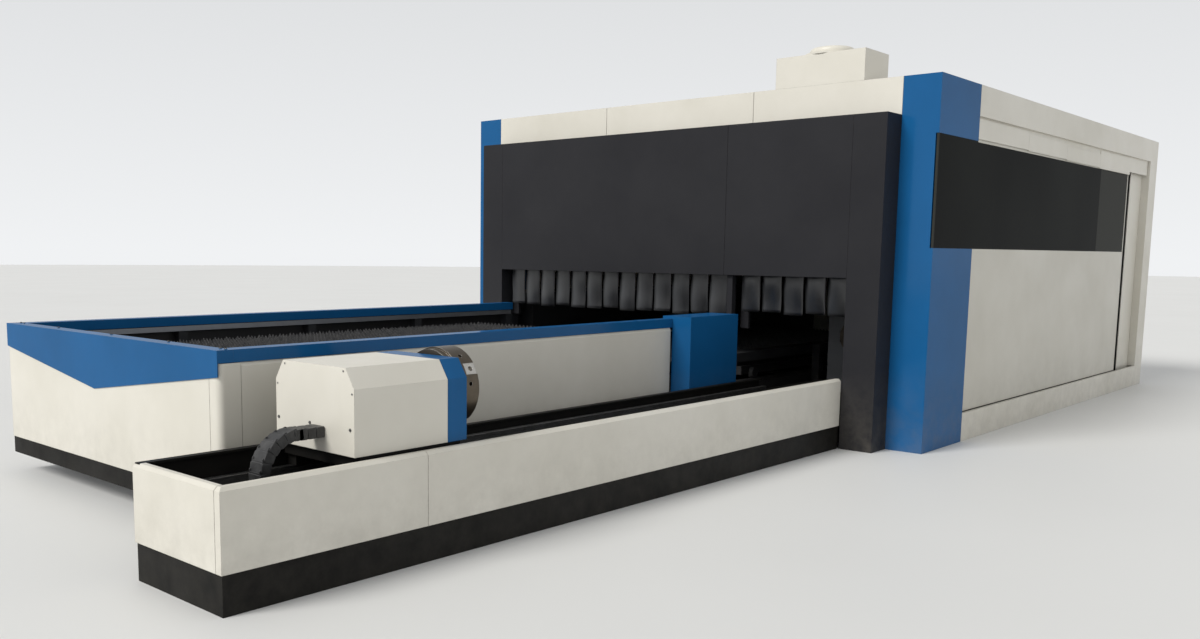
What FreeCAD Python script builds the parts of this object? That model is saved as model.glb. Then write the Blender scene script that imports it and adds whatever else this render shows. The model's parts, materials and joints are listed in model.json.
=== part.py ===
"""Plate and tube laser cutting machine: closed cabin, exchange table and tube feeding bed.

Frame: X runs along the machine from the free end of the tube bed (-X) to the rear of the
cabin (+X), Y runs across it with the tube bed at -Y, Z is up from the floor. The origin is
the middle of the whole machine's footprint, on the floor. Lengths are in millimetres.
"""
import FreeCAD
import Part
import os
import re
import Sketcher
from FreeCAD import Vector

DIMS = {
    # whole machine
    "half_length": 4800,
    "half_width": 1900,
    # cabin
    "roof_top": 2255,
    "cabin_front": -300,
    "skin": 20,
    "tube_side": 60,
    "column_width": 230,
    "column_side_end": 320,
    "window_bottom": 1240,
    "window_top": 1910,
    "top_band_bottom": 2065,
    "bottom_band_top": 185,
    "right_band_start": 4560,
    "door_end": 3945,
    "fixed_panel_start": 4180,
    "door_thick": 30,
    "dark_pane_start": 3120,
    # gate between the cabin and the tables
    "gate_front": -495,
    "gate_half": 1670,
    "gate_top": 2030,
    "gate_post": 210,
    "gate_opening_top": 1055,
    "gate_split": -590,
    "flap_width": 150,
    "flap_gap": 4,
    "flap_thick": 3,
    "wide_flap_bottom": 785,
    "narrow_flap_bottom": 815,
    # roof
    "roof_box_near": -1421,
    "roof_box_far": -814,
    "roof_box_depth": 325,
    "roof_box_top": 2450,
    "cowl_radius": 170,
    "cowl_top": 2500,
    # exchange table
    "table_end": -4330,
    "table_near": -675,
    "table_far": 1415,
    "table_top": 795,
    "table_skin": 12,
    "rim_bottom": 742,
    "plinth_bottom": 100,
    "plinth_top": 188,
    "plinth_inset": 6,
    "corner_seam": -4222,
    "near_panel_end": -1206,
    "chevron_far_z": 675,
    "chevron_low_z": 538,
    "chevron_low_y": 416,
    "chevron_near_z": 686,
    "drive_box_end": -657,
    "drive_box_start": -1188,
    "drive_box_near": -811,
    "drive_box_top": 811,
    # pallets
    "pallet_middle": 370,
    "pallet_half_width": 820,
    "pallet_length": 3180,
    "pallet_start": -4150,
    "pallet_travel": 4150,
    "upper_slat_top": 680,
    "slat_height": 70,
    "slat_thick": 4,
    "slat_pitch": 75,
    "slat_half_length": 770,
    "frame_tube": 60,
    "level_pitch": 215,
    "wheel_radius": 40,
    "wheel_width": 34,
    "rail_thick": 12,
    "rail_end": 3300,
    # tube bed
    "bed_near": -1455,
    "bed_far": -875,
    "bed_top": 436,
    "bed_far_low_top": 390,
    "bed_step": -3300,
    "bed_plinth": 144,
    "bed_skin": 10,
    "bed_rim": 34,
    "bed_seam": -3900,
    "bed_beam_top": 320,
    "bed_beam_width": 90,
    "bed_floor": 166,
    "bed_inner_end": 330,
    # headstock that carries the rear chuck
    "tube_axis_y": -1158,
    "tube_axis_z": 632,
    "head_rear": -4214,
    "head_split": -3750,
    "head_front": -3648,
    "head_half_width": 246,
    "head_top": 773,
    "head_bottom": 446,
    "head_chamfer_y": 50,
    "head_chamfer_z": 76,
    "head_skin": 8,
    "chuck_radius": 168,
    "chuck_front": -3500,
    "chuck_bore": 60,
    "jaw_width": 50,
    "jaw_depth": 62,
    "chain_width": 76,
    "chain_height": 42,
    "chain_outer": 166,
    "chain_centre_x": -4332,
    "chain_y": -1190,
    "chain_top": 543,
    # front chuck inside the cabin
    "front_chuck_rear": 330,
    "front_chuck_split": 520,
    # machine bed and gantry
    "bed_rail_near": -1650,
    "bed_rail_far": 1500,
    "bed_rail_width": 180,
    "bed_rail_top": 860,
    "machine_bed_start": -180,
    "machine_bed_end": 4600,
    "gantry_x": 3700,
    "gantry_depth": 260,
    "beam_bottom": 1010,
    "beam_top": 1270,
    "head_y": 370,
    "nozzle_tip": 800,
}

DOC = FreeCAD.newDocument("laser_cutting_machine")
SHEET = DOC.addObject("Spreadsheet::Sheet", "dims")
NODES = []


def fill_sheet():
    """Write each driving dimension into the sheet under its own alias."""
    for row, (alias, value) in enumerate(DIMS.items(), start=1):
        SHEET.set(f"A{row}", alias)
        SHEET.set(f"B{row}", str(value))
        SHEET.setAlias(f"B{row}", alias)
    DOC.recompute()


def linked(text):
    """Turn bare dimension names in an expression into references to the sheet."""
    return re.sub(r"[a-z_]+", lambda word: f"dims.{word.group()}" if word.group() in DIMS
                  else word.group(), str(text))


def size(text):
    """Work out an expression of dimension names as a plain number."""
    total = 0.0
    for term in re.findall(r"([+-]?)\s*([a-z_0-9.]+(?:\s*[*/]\s*[a-z_0-9.]+)*)", str(text)):
        value = 1.0
        for operator, factor in re.findall(r"([*/]?)\s*([a-z_0-9.]+)", term[1]):
            number = DIMS[factor] if factor in DIMS else float(factor)
            value = value / number if operator == "/" else value * number
        total += -value if term[0] == "-" else value
    return total


def node(shape_object, label):
    """Name a finished sub-part, whose label is also its file's name."""
    shape_object.Label = label
    NODES.append(shape_object)
    return shape_object


def place(thing, x, y, z):
    """Bind the position of an object to expressions of the sheet."""
    for axis, text in zip("xyz", (x, y, z)):
        thing.setExpression(f"Placement.Base.{axis}", linked(text))


def box(name, x, y, z):
    """A block between two expressions along each axis."""
    block = DOC.addObject("Part::Box", name)
    for prop, (low, high) in zip(("Length", "Width", "Height"), (x, y, z)):
        block.setExpression(prop, linked(f"({high}) - ({low})"))
    place(block, x[0], y[0], z[0])
    return block


def cylinder(name, axis, centre, low, high, radius):
    """A round bar along one axis between two expressions; centre gives the other two places."""
    bar = DOC.addObject("Part::Cylinder", name)
    bar.setExpression("Radius", linked(radius))
    bar.setExpression("Height", linked(f"({high}) - ({low})"))
    turn = {"x": (Vector(0, 1, 0), 90), "y": (Vector(1, 0, 0), -90), "z": (Vector(0, 0, 1), 0)}
    bar.Placement = FreeCAD.Placement(Vector(), FreeCAD.Rotation(*turn[axis]))
    where = list(centre)
    where.insert("xyz".index(axis), low)
    place(bar, *where)
    return bar


def cut(name, base, *tools):
    """The base with every tool taken out of it."""
    result = base
    for index, tool in enumerate(tools):
        step = DOC.addObject("Part::Cut", f"{name}_cut{index}")
        step.Base = result
        step.Tool = tool
        result = step
    return result


def fuse(name, *pieces):
    """Touching pieces welded into one solid, with the seams between them taken off."""
    joined = DOC.addObject("Part::MultiFuse", f"{name}_fuse")
    joined.Shapes = list(pieces)
    joined.Refine = True
    return joined


def group(name, *pieces):
    """Separate solids that share one sub-part, such as identical fasteners."""
    together = DOC.addObject("Part::Compound", f"{name}_group")
    together.Links = list(pieces)
    return together


def chamfer(name, base, width, chosen):
    """Chamfer the edges for which chosen(edge) is true."""
    DOC.recompute()
    result = DOC.addObject("Part::Chamfer", f"{name}_chamfer")
    result.Base = base
    edges = [i for i, edge in enumerate(base.Shape.Edges, start=1) if chosen(edge)]
    result.Edges = [(i, width, width) for i in edges]
    return result


def fillet(name, base, radius, chosen):
    """Round the edges for which chosen(edge) is true."""
    DOC.recompute()
    result = DOC.addObject("Part::Fillet", f"{name}_fillet")
    result.Base = base
    edges = [i for i, edge in enumerate(base.Shape.Edges, start=1) if chosen(edge)]
    result.Edges = [(i, radius, radius) for i in edges]
    return result


def origin_plane(body, role):
    """A body's own origin plane, found by its role."""
    return next(plane for plane in body.Origin.OriginFeatures if plane.Role == role)


def outline(body, name, role, points):
    """A closed polygon sketch; each corner is dimensioned from the sketch's own origin.

    The corners are pairs of expressions that are zero or more, so the body is placed
    afterwards, with its sketch origin at the outline's lowest corner.
    """
    sketch = body.newObject("Sketcher::SketchObject", name)
    sketch.AttachmentSupport = [(origin_plane(body, role), "")]
    sketch.MapMode = "FlatFace"
    spots = [Vector(size(u), size(v), 0) for u, v in points]
    count = len(spots)
    for index in range(count):
        sketch.addGeometry(Part.LineSegment(spots[index], spots[(index + 1) % count]), False)
    for index in range(count):
        sketch.addConstraint(Sketcher.Constraint("Coincident", index, 2, (index + 1) % count, 1))
    for index, (u, v) in enumerate(points):
        for kind, text in (("DistanceX", u), ("DistanceY", v)):
            number = sketch.addConstraint(
                Sketcher.Constraint(kind, -1, 1, index, 1, size(text)))
            sketch.renameConstraint(number, f"{kind}{index}")
            sketch.setExpression(f"Constraints.{kind}{index}", linked(text))
    sketch.Visibility = False
    return sketch


def extruded(name, role, points, length, where):
    """A body padded from a polygon: YZ outlines run along +X, XZ ones along +Y, XY ones up."""
    body = DOC.addObject("PartDesign::Body", name)
    pad = body.newObject("PartDesign::Pad", f"{name}_pad")
    pad.Profile = outline(body, f"{name}_outline", role, points)
    pad.setExpression("Length", linked(length))
    pad.Reversed = role == "XZ_Plane"
    body.Tip = pad
    place(body, *where)
    return body


def turned(name, rings, where, bores=()):
    """A body revolved about its own X axis from stepped rings of (start, end, radius)."""
    body = DOC.addObject("PartDesign::Body", name)
    corners = [(rings[0][0], "0")]
    for low, high, radius in rings:
        corners += [(low, radius), (high, radius)]
    corners.append((rings[-1][1], "0"))
    sketch = outline(body, f"{name}_profile", "XZ_Plane", corners)
    turn = body.newObject("PartDesign::Revolution", f"{name}_turn")
    turn.Profile = sketch
    turn.ReferenceAxis = (sketch, ["H_Axis"])
    turn.Angle = 360
    body.Tip = turn
    place(body, *where)
    for index, (low, high, radius) in enumerate(bores):
        DOC.recompute()
        before = body.Shape.Volume
        groove = body.newObject("PartDesign::Groove", f"{name}_bore{index}")
        groove.Profile = outline(body, f"{name}_bore{index}_profile", "XZ_Plane",
                                 [(low, "0"), (low, radius), (high, radius), (high, "0")])
        groove.ReferenceAxis = (groove.Profile[0], ["H_Axis"])
        groove.Angle = 360
        body.Tip = groove
        DOC.recompute()
        if body.Shape.Volume >= before - 1:
            raise ValueError(f"{name} bore {index} cuts nothing")
    return body


def inward(side, low, high):
    """A Y pair measured inwards from the cabin's near (-1) or far (+1) face."""
    if side < 0:
        return (f"-half_width + {low}", f"-half_width + {high}")
    return (f"half_width - ({high})", f"half_width - ({low})")


def sheet_shell(name, x, y, z, wall, open_side):
    """A folded sheet box, open towards one side such as '+x' or '-z'."""
    outer = box(f"{name}_outer", x, y, z)
    inner = []
    for axis, (low, high) in zip("xyz", (x, y, z)):
        start = f"{low} - 1" if open_side == f"-{axis}" else f"{low} + {wall}"
        end = f"{high} + 1" if open_side == f"+{axis}" else f"{high} - {wall}"
        inner.append((start, end))
    return cut(name, outer, box(f"{name}_inner", *inner))


def corner_column(side, label, window):
    """A blue corner: one sheet folded round the cabin's front corner."""
    front = ("cabin_front", "column_side_end")
    outer = box(f"{label}_outer", front, inward(side, "0", "column_width"), ("0", "roof_top"))
    inner = box(f"{label}_inner", ("cabin_front + skin", "column_side_end + 1"),
                inward(side, "skin", "column_width + 1"), ("-1", "roof_top + 1"))
    tools = [inner]
    if window:
        tools.append(box(f"{label}_window", ("cabin_front - 1", "column_side_end + 1"),
                         inward(side, "-1", "skin"), ("window_bottom", "window_top")))
    node(cut(label, outer, *tools), label)


def cabin_skins():
    """Corners, fascia and roof of the cabin, its far and rear walls and the fixed panel."""
    corner_column(-1, "near_corner_column", True)
    corner_column(1, "far_corner_column", False)
    node(box("corner_pane", ("cabin_front + 2", "column_side_end + 4"), inward(-1, "3", "13"),
             ("window_bottom", "window_top")), "corner_window")
    fascia = []
    edges = ["-gate_half", "-655", "580", "gate_half"]
    for index in range(3):
        fascia.append(box(f"fascia{index}", ("cabin_front", "cabin_front + skin"),
                          (f"{edges[index]} + 1.5", f"{edges[index + 1]} - 1.5"),
                          ("gate_top + 1", "roof_top")))
    node(group("fascia", *fascia), "fascia_panels")
    node(box("roof", ("cabin_front + skin", "half_length - skin"),
             ("-half_width + skin", "half_width - skin"), ("roof_top - skin", "roof_top")),
         "roof_panel")
    walls = []
    starts = ["column_side_end", "1450", "3100", "half_length"]
    for index in range(3):
        walls.append(box(f"far_wall{index}", (f"{starts[index]} + 2", f"{starts[index + 1]} - 2"),
                         inward(1, "0", "skin"), ("0", "roof_top")))
    for index, (low, high) in enumerate((("-half_width + skin", "-2"), ("2", "half_width - skin"))):
        walls.append(box(f"rear_wall{index}", ("half_length - skin", "half_length"),
                         (low, high), ("0", "roof_top")))
    walls.append(box("fixed_panel", ("fixed_panel_start", "half_length - skin"),
                     inward(-1, "62", "74"), ("150", "2066")))
    node(group("walls", *walls), "wall_panels")


def side_portal():
    """The near side's outer frame: top band, rear band and bottom band, cut from one sheet."""
    long = "half_length - column_side_end"
    reach = "right_band_start - column_side_end"
    points = [("0", "0"), (long, "0"), (long, "roof_top"), ("0", "roof_top"),
              ("0", "top_band_bottom"), (reach, "top_band_bottom"),
              (reach, "bottom_band_top"), ("0", "bottom_band_top")]
    sheet = extruded("portal_sheet", "XZ_Plane", points, "skin",
                     ("column_side_end", "-half_width", "0"))
    fold = box("portal_fold", ("right_band_start", "right_band_start + 4"),
               inward(-1, "skin - 1", "62"), ("bottom_band_top", "top_band_bottom"))
    node(fuse("portal", sheet, fold), "side_portal")
    plates = [box("header_strip", ("column_side_end + 6", "right_band_start - 10"),
                  inward(-1, "skin + 0.5", "skin + 3"),
                  ("window_top + 26", "top_band_bottom + 20"))]
    ends = ["column_side_end + 6", "1300", "2160", "3036", "door_end"]
    for index, drop in enumerate((10, 24, 40, 12)):
        plates.append(box(f"header{index}", (f"{ends[index]} + 1", f"{ends[index + 1]} - 1"),
                          inward(-1, "skin - 4.5", "skin + 0.5"),
                          (f"window_top + {6 * (3 - index)}", f"top_band_bottom - {drop}")))
    node(group("headers", *plates), "door_header_plates")
    node(box("track", ("column_side_end + 20", "half_length - skin - tube_side"),
             inward(-1, "60", "84"), ("2072", "2102")), "door_track")


def service_door():
    """The near side's sliding door: sheet panel with a long window, hung on its track."""
    door_y = inward(-1, "skin + 5", "skin + 5 + door_thick")
    panel = box("door_sheet", ("column_side_end + 6", "door_end"), door_y,
                ("bottom_band_top + 5", "2058"))
    opening = box("door_opening", ("column_side_end + 6 + skin", "door_end - skin"),
                  inward(-1, "skin", "skin + 6 + door_thick"), ("window_bottom", "window_top"))
    node(cut("door", panel, opening), "service_door")
    pane_y = inward(-1, "skin + 7", "skin + 15")
    glass = box("door_glass", ("column_side_end + 6 + skin", "dark_pane_start"), pane_y,
                ("window_bottom", "window_top"))
    dark = box("door_dark", ("dark_pane_start + 2", "door_end - skin"), pane_y,
               ("window_bottom", "window_top"))
    node(group("door_panes", glass, dark), "door_window")


def cabin_frame():
    """Welded square tubes behind the cabin's skins."""
    low, high = "cabin_front + skin", "half_length - skin"
    bars = []
    lines = (("-half_width + 90", "near"), ("half_width - skin - tube_side", "far"))
    for y_low, side in lines:
        y = (y_low, f"{y_low} + tube_side")
        bars.append(box(f"frame_top_{side}", (low, high), y,
                        ("roof_top - skin - tube_side", "roof_top - skin")))
        for index, x in enumerate((low, f"{high} - tube_side")):
            bars.append(box(f"frame_post_{side}{index}", (x, f"{x} + tube_side"), y,
                            ("0", "roof_top - skin")))
    across = ("-half_width + 90", "half_width - skin")
    for index, x in enumerate((low, "1200", "2900", f"{high} - tube_side")):
        bars.append(box(f"frame_cross{index}", (x, f"{x} + tube_side"), across,
                        ("roof_top - skin - tube_side", "roof_top - skin")))
    node(fuse("frame", *bars), "cabin_frame")


def gate():
    """The dark portal in front of the cabin, with its covers, curtains and door guides."""
    depth = ("gate_front", "cabin_front")
    posts = [sheet_shell("post_near", depth, ("-gate_half", "-gate_half + gate_post"),
                         ("0", "gate_top"), "6", "+x"),
             sheet_shell("post_far", depth, ("gate_half - gate_post", "gate_half"),
                         ("0", "gate_top"), "6", "+x")]
    node(group("posts", *posts), "gate_posts")
    tall = "gate_top - gate_opening_top - 6"
    fold = [("0", "0"), ("40", "0"), ("40", "6"), ("6", "6"), ("6", tall), ("0", tall)]
    inner = "gate_half - gate_post"
    wide = extruded("cover_wide", "XZ_Plane", fold, f"{inner} - gate_split - 2",
                    ("gate_front", "gate_split + 1", "gate_opening_top"))
    narrow = extruded("cover_narrow", "XZ_Plane", fold, f"{inner} + gate_split - 2",
                      ("gate_front", "-gate_half + gate_post + 1", "gate_opening_top"))
    cap = box("gate_cap", depth, (f"-{inner.replace(' - ', ' + ')} + 1", f"{inner} - 1"),
              ("gate_top - 6", "gate_top"))
    node(group("covers", wide, narrow, cap), "gate_covers")
    bars = [box("mullion_bar", ("-470", "-424"), ("gate_split - 55", "gate_split - 15"),
                ("0", "gate_opening_top"))]
    for index, y in enumerate(("-1455", "-712", "-598", "1395")):
        bars.append(box(f"door_guide{index}", ("-364", "-340"), (y, f"{y} + 60"),
                        ("700", "gate_top - 10")))
    node(group("gate_bars", *bars), "gate_guides")
    strips = []
    pitch = DIMS["flap_width"] + DIMS["flap_gap"]
    runs = (("wide", size("gate_split + 4"), 13, "wide_flap_bottom"),
            ("narrow", size("-gate_half + gate_post + 4"), 5, "narrow_flap_bottom"))
    for run, start, count, bottom in runs:
        for index in range(count):
            low = f"{start + index * pitch}"
            strips.append(box(f"{run}_strip{index}", ("-436", "-436 + flap_thick"),
                              (low, f"{low} + flap_width"), (bottom, "gate_opening_top + 30")))
    node(group("strips", *strips), "curtain_strips")


def lift_doors():
    """Two doors that drop behind the gate's covers, over the pallets and over the tube bed."""
    for label, low, high in (("pallet_lift_door", "gate_split - 5", "1448"),
                             ("tube_lift_door", "-1452", "gate_split - 62")):
        node(sheet_shell(f"{label}_tray", ("-400", "-366"), (low, high),
                         ("gate_opening_top + 5", "gate_top - 40"), "2.5", "+x"), label)


def roof_unit():
    """The fume outlet box at the roof's front edge and its domed cowl."""
    near, far = "roof_box_near", "roof_box_far"
    node(sheet_shell("outlet", ("cabin_front", "cabin_front + roof_box_depth"), (near, far),
                     ("roof_top", "roof_box_top"), "6", "-z"), "roof_box")
    rise = "cowl_top - roof_box_top"
    dome = turned("cowl", [("0", "12", "cowl_radius"), ("12", rise, "cowl_radius - 30")],
                  ("cabin_front + roof_box_depth / 2", "-1118", "roof_box_top"))
    dome.Placement.Rotation = FreeCAD.Rotation(Vector(0, 1, 0), -90)
    node(fillet("cowl", dome, 26, lambda edge: edge.BoundBox.ZMin > size("cowl_top") - 1),
         "fan_cowl")


def table_frames():
    """Two ladder frames along the exchange table and their cross members.

    The levelling feet under the posts are returned, to share a sub-part with the bed's pads.
    """
    ends = ("table_end + 16", "gate_front")
    posts_x = [f"table_end + 30 + {step} * 930" for step in range(4)] + ["gate_front - 66"]
    ladders = []
    feet = []
    for side, low in (("near", "table_near + table_skin"),
                      ("far", "table_far - table_skin - frame_tube")):
        y = (low, f"{low} + frame_tube")
        bars = [box(f"ladder_{side}_low", ends, y, ("plinth_top", "plinth_top + frame_tube")),
                box(f"ladder_{side}_high", ends, y, ("rim_bottom - 14", "table_top - 8"))]
        for index, x in enumerate(posts_x):
            bars.append(box(f"ladder_{side}_post{index}", (x, f"{x} + frame_tube"), y,
                            ("plinth_top", "table_top - 8")))
            stand = (f"{x} + {600 if index == 0 else 30}", f"{low} + 30")
            stem = cylinder(f"foot_{side}_stem{index}", "z", stand, "0", "plinth_top", "14")
            pad = cylinder(f"foot_{side}_pad{index}", "z", stand, "0", "22", "52")
            feet.append(fuse(f"foot_{side}{index}", pad, stem))
        ladders.append(fuse(f"ladder_{side}", *bars))
    crossing = [box(f"cross{index}", (x, f"{x} + frame_tube"),
                    ("table_near + table_skin + frame_tube", "table_far - table_skin - frame_tube"),
                    ("plinth_top", "plinth_top + frame_tube - 6"))
                for index, x in enumerate(posts_x)]
    node(group("table_tubes", *ladders, *crossing), "table_frame")
    return feet


def table_skins():
    """Side, corner and end sheets, the blue rims and the chevron end cap of the table."""
    tall = "rim_bottom - plinth_top"
    edge = [("0", "0"), ("table_skin", "0"), ("table_skin", tall), ("8", tall),
            ("0", f"{tall} - 16")]
    near = extruded("near_sheet", "YZ_Plane", edge, "near_panel_end - corner_seam - 2",
                    ("corner_seam + 2", "table_near", "plinth_top"))
    far = box("far_sheet", ("table_end + 16", "gate_front"),
              ("table_far - table_skin", "table_far"), ("plinth_top", "rim_bottom"))
    node(group("side_sheets", near, far), "table_side_panels")
    outer = box("corner_outer", ("table_end + 4", "corner_seam"),
                ("table_near", "table_near + 70"), ("plinth_top", "rim_bottom - 2"))
    inner = box("corner_inner", ("table_end + 16", "corner_seam + 1"),
                ("table_near + table_skin", "table_near + 71"),
                ("plinth_top - 1", "rim_bottom"))
    rounded = fillet("corner", outer, 30,
                     lambda edge: edge.BoundBox.ZLength > 100
                     and edge.BoundBox.XMax < size("table_end + 5")
                     and edge.BoundBox.YMax < size("table_near + 1"))
    node(cut("corner_sheet", rounded, inner), "table_corner_panel")
    node(box("end_sheet", ("table_end + 4", "table_end + 16"),
             ("table_near + 72", "table_far - table_skin"), ("plinth_top", "table_top - 8")),
         "table_end_panel")
    side = "table_far - table_near"
    low_y = "chevron_low_y - table_near"
    face = [("0", "chevron_near_z - chevron_low_z"), (low_y, "0"),
            (side, "chevron_far_z - chevron_low_z"), (side, "table_top - chevron_low_z"),
            ("0", "table_top - chevron_low_z")]
    plate = extruded("chevron", "YZ_Plane", face, "4",
                     ("table_end", "table_near", "chevron_low_z"))
    flange = box("end_flange", ("table_end", "table_end + 76"), ("table_near", "table_far"),
                 ("table_top - 8", "table_top"))
    webs = [box(f"end_web_{side}", ("table_end", "table_end + 76"), y, ("rim_bottom", "table_top"))
            for side, y in (("near", ("table_near", "table_near + 6")),
                            ("far", ("table_far - 6", "table_far")))]
    node(fuse("end_cap", plate, flange, *webs), "table_end_cap")
    drop = "table_top - rim_bottom"
    channel = [("0", "0"), ("6", "0"), ("6", f"{drop} - 8"), ("72", f"{drop} - 8"), ("72", "0"),
               ("78", "0"), ("78", drop), ("0", drop)]
    rims = [extruded(f"rim_{side}", "YZ_Plane", channel, "gate_front - table_end - 76",
                     ("table_end + 76", y, "rim_bottom"))
            for side, y in (("near", "table_near"), ("far", "table_far - 78"))]
    node(group("rims", *rims), "table_rims")


def drive_unit():
    """The shuttle drive's blue cover on the near side of the table, and its geared motor."""
    x = ("drive_box_start", "drive_box_end")
    shell = sheet_shell("drive", x, ("drive_box_near", "table_near"), ("0", "drive_box_top"),
                        "6", "+y")
    lid = box("drive_lid", x, ("table_near", "table_near + 72"), ("table_top", "drive_box_top"))
    node(fuse("drive_cover", shell, lid), "drive_box")
    middle = "drive_box_start + 265"
    gear = box("motor_gear", (f"{middle} - 60", f"{middle} + 60"),
               ("drive_box_near + 16", "table_near - 4"), ("430", "570"))
    shaft = cylinder("motor_can", "z", (middle, "drive_box_near + 72"), "200", "430", "52")
    node(fuse("motor", gear, shaft), "shuttle_motor")


def plinths():
    """Black skirts under the tube bed and under the exchange table."""
    boards = []
    for name, near, far, end, last, top, bottom in (
            ("bed", "bed_near", "bed_far", "-half_length", "gate_front", "bed_plinth", "0"),
            ("table", "table_near", "table_far", "table_end + 4", "gate_front", "plinth_top",
             "plinth_bottom")):
        z = (bottom, top)
        start = f"{end} + plinth_inset"
        pieces = [box(f"{name}_skirt_near", (start, last),
                      (f"{near} + plinth_inset", f"{near} + plinth_inset + 8"), z),
                  box(f"{name}_skirt_far", (start, last),
                      (f"{far} - plinth_inset - 8", f"{far} - plinth_inset"), z),
                  box(f"{name}_skirt_end", (start, f"{start} + 8"),
                      (f"{near} + plinth_inset", f"{far} - plinth_inset"), z)]
        boards.append(fuse(f"{name}_skirt", *pieces))
    node(group("skirts", *boards), "plinth_skirts")


def pallet_rails():
    """Angle rails on two levels, which run from the table through the gate into the cabin."""
    rails = []
    reach = "pallet_middle - pallet_half_width - 5 - table_near - table_skin - frame_tube"
    run = "rail_end - table_end - 80"
    top = "upper_slat_top - slat_height - frame_tube - 30"
    for level, drop in (("upper", "0"), ("lower", "level_pitch")):
        base = f"{top} - {drop} - rail_thick - 50"
        near = [("0", "0"), ("10", "0"), ("10", "50"), (reach, "50"), (reach, "50 + rail_thick"),
                ("0", "50 + rail_thick")]
        rails.append(extruded(f"{level}_rail_near", "YZ_Plane", near, run,
                              ("table_end + 80", "table_near + table_skin + frame_tube", base)))
        far = [(reach, "0"), (reach, "50 + rail_thick"), ("0", "50 + rail_thick"), ("0", "50"),
               (f"{reach} - 10", "50"), (f"{reach} - 10", "0")]
        rails.append(extruded(f"{level}_rail_far", "YZ_Plane", far, run,
                              ("table_end + 80",
                               "pallet_middle + pallet_half_width + 5", base)))
    node(group("rails", *rails), "pallet_rails")


def serrated_slat(name, x, bottom):
    """One upright blade across the pallet with a row of pointed teeth along its top."""
    teeth = 44
    half = DIMS["slat_half_length"]
    tall = DIMS["slat_height"]
    pitch = 2 * half / teeth
    corners = [Vector(x, -half, 0), Vector(x, half, 0)]
    for tooth in range(teeth, 0, -1):
        right = -half + tooth * pitch
        corners += [Vector(x, right, tall * 0.72), Vector(x, right - pitch / 2, tall)]
    corners.append(Vector(x, -half, tall * 0.72))
    corners.append(corners[0])
    face = Part.Face(Part.makePolygon(corners))
    blade = face.extrude(Vector(DIMS["slat_thick"], 0, 0))
    blade.translate(Vector(0, DIMS["pallet_middle"], bottom))
    return blade


def pallet(letter, start, drop):
    """A shuttle pallet: welded frame on eight wheels, and a field of serrated slats."""
    x = (start, f"{start} + pallet_length")
    top = f"upper_slat_top - slat_height - {drop}"
    z = (f"{top} - frame_tube", top)
    low, high = "pallet_middle - pallet_half_width", "pallet_middle + pallet_half_width"
    bars = [box(f"pallet_{letter}_near", x, (low, f"{low} + frame_tube"), z),
            box(f"pallet_{letter}_far", x, (f"{high} - frame_tube", high), z)]
    for index, share in enumerate(("0", "0.3333", "0.6667", "1")):
        spot = f"{start} + (pallet_length - frame_tube) * {share}"
        bars.append(box(f"pallet_{letter}_cross{index}", (spot, f"{spot} + frame_tube"),
                        (low, high), z))
    for index, place_y in enumerate(("pallet_middle - 300", "pallet_middle + 260")):
        bars.append(box(f"pallet_{letter}_inner{index}", x, (place_y, f"{place_y} + 40"), z))
    for side, y in (("near", "pallet_middle - slat_half_length - 12"),
                    ("far", "pallet_middle + slat_half_length + 2")):
        bars.append(box(f"pallet_{letter}_comb_{side}", x, (y, f"{y} + 10"),
                        (top, f"{top} + slat_height - 28")))
    frame = fuse(f"pallet_{letter}_frame", *bars)
    wheels = []
    axis_z = f"{top} - frame_tube - 30 + wheel_radius + 0.3"
    for index, share in enumerate(("0.04", "0.34", "0.64", "0.96")):
        spot = f"{start} + pallet_length * {share}"
        for side, rim, stub in (
                ("near", (f"{low} - 6 - wheel_width", f"{low} - 6"), (f"{low} - 6", low)),
                ("far", (f"{high} + 6", f"{high} + 6 + wheel_width"), (high, f"{high} + 6"))):
            name = f"pallet_{letter}_wheel_{side}{index}"
            wheels.append(fuse(name,
                               cylinder(f"{name}_rim", "y", (spot, axis_z), *rim, "wheel_radius"),
                               cylinder(f"{name}_stub", "y", (spot, axis_z), *stub, "14")))
    node(group(f"pallet_{letter}_running", frame, *wheels), f"pallet_{letter}_frame")
    first = size(start) + 60
    count = int((DIMS["pallet_length"] - 120) / DIMS["slat_pitch"]) + 1
    field = DOC.addObject("Part::Feature", f"pallet_{letter}_field")
    field.Shape = Part.makeCompound(
        [serrated_slat(f"slat{index}", first + index * DIMS["slat_pitch"], size(top))
         for index in range(count)])
    node(field, f"pallet_{letter}_slats")


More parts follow.
